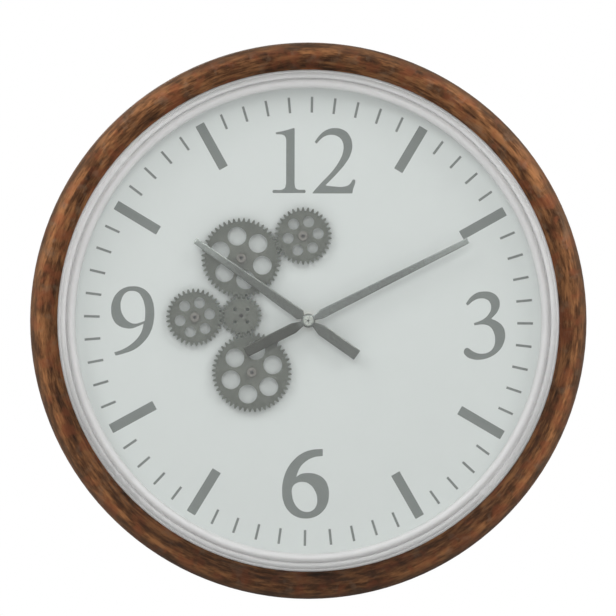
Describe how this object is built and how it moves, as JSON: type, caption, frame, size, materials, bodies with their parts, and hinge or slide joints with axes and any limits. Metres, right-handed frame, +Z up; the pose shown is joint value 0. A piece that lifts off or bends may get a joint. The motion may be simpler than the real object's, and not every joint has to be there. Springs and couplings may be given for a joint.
{
  "type": "wall clock with moving gears",
  "caption": "Round wall clock with a wooden rim and a stepped silver ring under glass; hands and a train of meshing gears turn over a pale dial.",
  "frame": {"origin": "on the wall plane, where the axis of the hands meets it: the centre of the rim's flat rear face", "axes": "+X to the right and +Z up to twelve o'clock as seen from the front, +Y into the wall"},
  "size_m": [0.52, 0.07, 0.52],
  "materials": {
    "wood_rim": "stained, brushed wood, satin lacquer",
    "fibreboard": "raw fibreboard",
    "silver_ring": "silver lacquer, satin",
    "clear_glass": "clear, polished",
    "printed_dial": "pale grey, printed in grey",
    "gear_grey": "dark grey, satin",
    "hand_grey": "grey lacquer, satin",
    "cap_grey": "light grey, satin",
    "steel": "zinc plated",
    "brass": "turned",
    "black_case": "black, fine moulded grain",
    "works_white": "natural moulded",
    "rubber": "black, matt",
    "cell_wrap": "printed wrap, gloss",
    "contact_plate": "nickel plated",
    "circuit": "green solder mask",
    "coil_copper": "enamelled winding"
  },
  "bodies": {
    "case": {"wood_frame": "wood_rim", "glass_seal": "rubber", "front_glass": "clear_glass", "stepped_ring": "silver_ring", "dial_face": "printed_dial", "dial_board": "fibreboard", "board_clips": "steel", "board_clip_screws": "steel", "hanger_plate": "steel", "hanger_screws": "steel", "gear_post_spacers": "black_case", "gear_post_caps": "cap_grey", "upper_gear_post": "steel", "lower_gear_post": "steel", "left_gear_post": "steel", "top_gear_post": "steel", "movement_front_case": "black_case", "movement_rear_case": "black_case", "movement_gasket": "rubber", "movement_washer": "brass", "movement_nut": "brass", "movement_cell": "cell_wrap", "movement_contacts": "contact_plate", "circuit_board": "circuit", "step_motor_coil": "coil_copper", "drive_case": "black_case", "drive_cover": "black_case", "drive_bush": "brass", "idler_pin": "steel", "drive_motor": "steel", "drive_cell_left": "cell_wrap", "drive_cell_right": "cell_wrap", "drive_contacts": "contact_plate", "switch_body": "black_case", "drive_screws": "steel", "drive_cover_screws": "steel"},
    "minute": {"minute_hand": "hand_grey", "hand_nut": "contact_plate", "minute_arbor": "brass"},
    "hour": {"hour_hand": "hand_grey", "hour_wheel": "works_white"},
    "motion": {"motion_wheel": "works_white"},
    "knob": {"setting_knob": "black_case"},
    "upper": {"upper_gear": "gear_grey"},
    "lower": {"lower_gear": "gear_grey"},
    "left": {"left_gear": "gear_grey"},
    "top": {"top_gear": "gear_grey"},
    "drive": {"drive_gear": "gear_grey", "drive_shaft": "steel", "output_wheel": "works_white"},
    "idler": {"idler_wheel": "works_white"},
    "motor_rotor": {"motor_pinion": "brass"},
    "switch": {"power_switch": "works_white"}
  },
  "joints": [
    {"name": "minute_hand_turn", "type": "hinge", "parent": "case", "child": "minute", "pos_m": [0, -0.045, 0], "axis": [0, 1, 0], "continuous": true},
    {"name": "hour_hand_turn", "type": "hinge", "parent": "case", "child": "hour", "pos_m": [0, -0.042, 0], "axis": [0, 1, 0], "continuous": true},
    {"name": "motion_wheel_turn", "type": "hinge", "parent": "case", "child": "motion", "pos_m": [-0.00996, -0.018, 0.00575], "axis": [0, 1, 0], "continuous": true},
    {"name": "setting_knob_turn", "type": "hinge", "parent": "case", "child": "knob", "pos_m": [-0.00421, -0.0055, 0.01571], "axis": [0, 1, 0], "continuous": true},
    {"name": "upper_gear_turn", "type": "hinge", "parent": "case", "child": "upper", "pos_m": [-0.06281, -0.0349, 0.0587], "axis": [0, 1, 0], "continuous": true},
    {"name": "lower_gear_turn", "type": "hinge", "parent": "case", "child": "lower", "pos_m": [-0.05297, -0.0349, -0.04838], "axis": [0, 1, 0], "continuous": true},
    {"name": "left_gear_turn", "type": "hinge", "parent": "case", "child": "left", "pos_m": [-0.10637, -0.0349, 0.00318], "axis": [0, 1, 0], "continuous": true},
    {"name": "top_gear_turn", "type": "hinge", "parent": "case", "child": "top", "pos_m": [-0.0049, -0.0349, 0.07943], "axis": [0, 1, 0], "continuous": true},
    {"name": "drive_gear_turn", "type": "hinge", "parent": "case", "child": "drive", "pos_m": [-0.0629, -0.0349, 0.0047], "axis": [0, 1, 0], "continuous": true},
    {"name": "idler_wheel_turn", "type": "hinge", "parent": "case", "child": "idler", "pos_m": [-0.07216, -0.018, -0.00633], "axis": [0, 1, 0], "continuous": true},
    {"name": "motor_turn", "type": "hinge", "parent": "case", "child": "motor_rotor", "pos_m": [-0.07816, -0.016, -0.01672], "axis": [0, 1, 0], "continuous": true},
    {"name": "power_switch_slide", "type": "slide", "parent": "case", "child": "switch", "axis": [0, 0, 1], "range_m": [0, 0.004]}
  ],
  "couplings": [
    {"joint": "hour_hand_turn", "follows": "minute_hand_turn", "ratio": 0.083333},
    {"joint": "motion_wheel_turn", "follows": "minute_hand_turn", "ratio": -0.33333},
    {"joint": "setting_knob_turn", "follows": "minute_hand_turn", "ratio": 1},
    {"joint": "lower_gear_turn", "follows": "upper_gear_turn", "ratio": 1},
    {"joint": "drive_gear_turn", "follows": "upper_gear_turn", "ratio": -2},
    {"joint": "left_gear_turn", "follows": "upper_gear_turn", "ratio": 1.4118},
    {"joint": "top_gear_turn", "follows": "upper_gear_turn", "ratio": -1.4118},
    {"joint": "idler_wheel_turn", "follows": "upper_gear_turn", "ratio": 6},
    {"joint": "motor_turn", "follows": "upper_gear_turn", "ratio": -18}
  ]
}
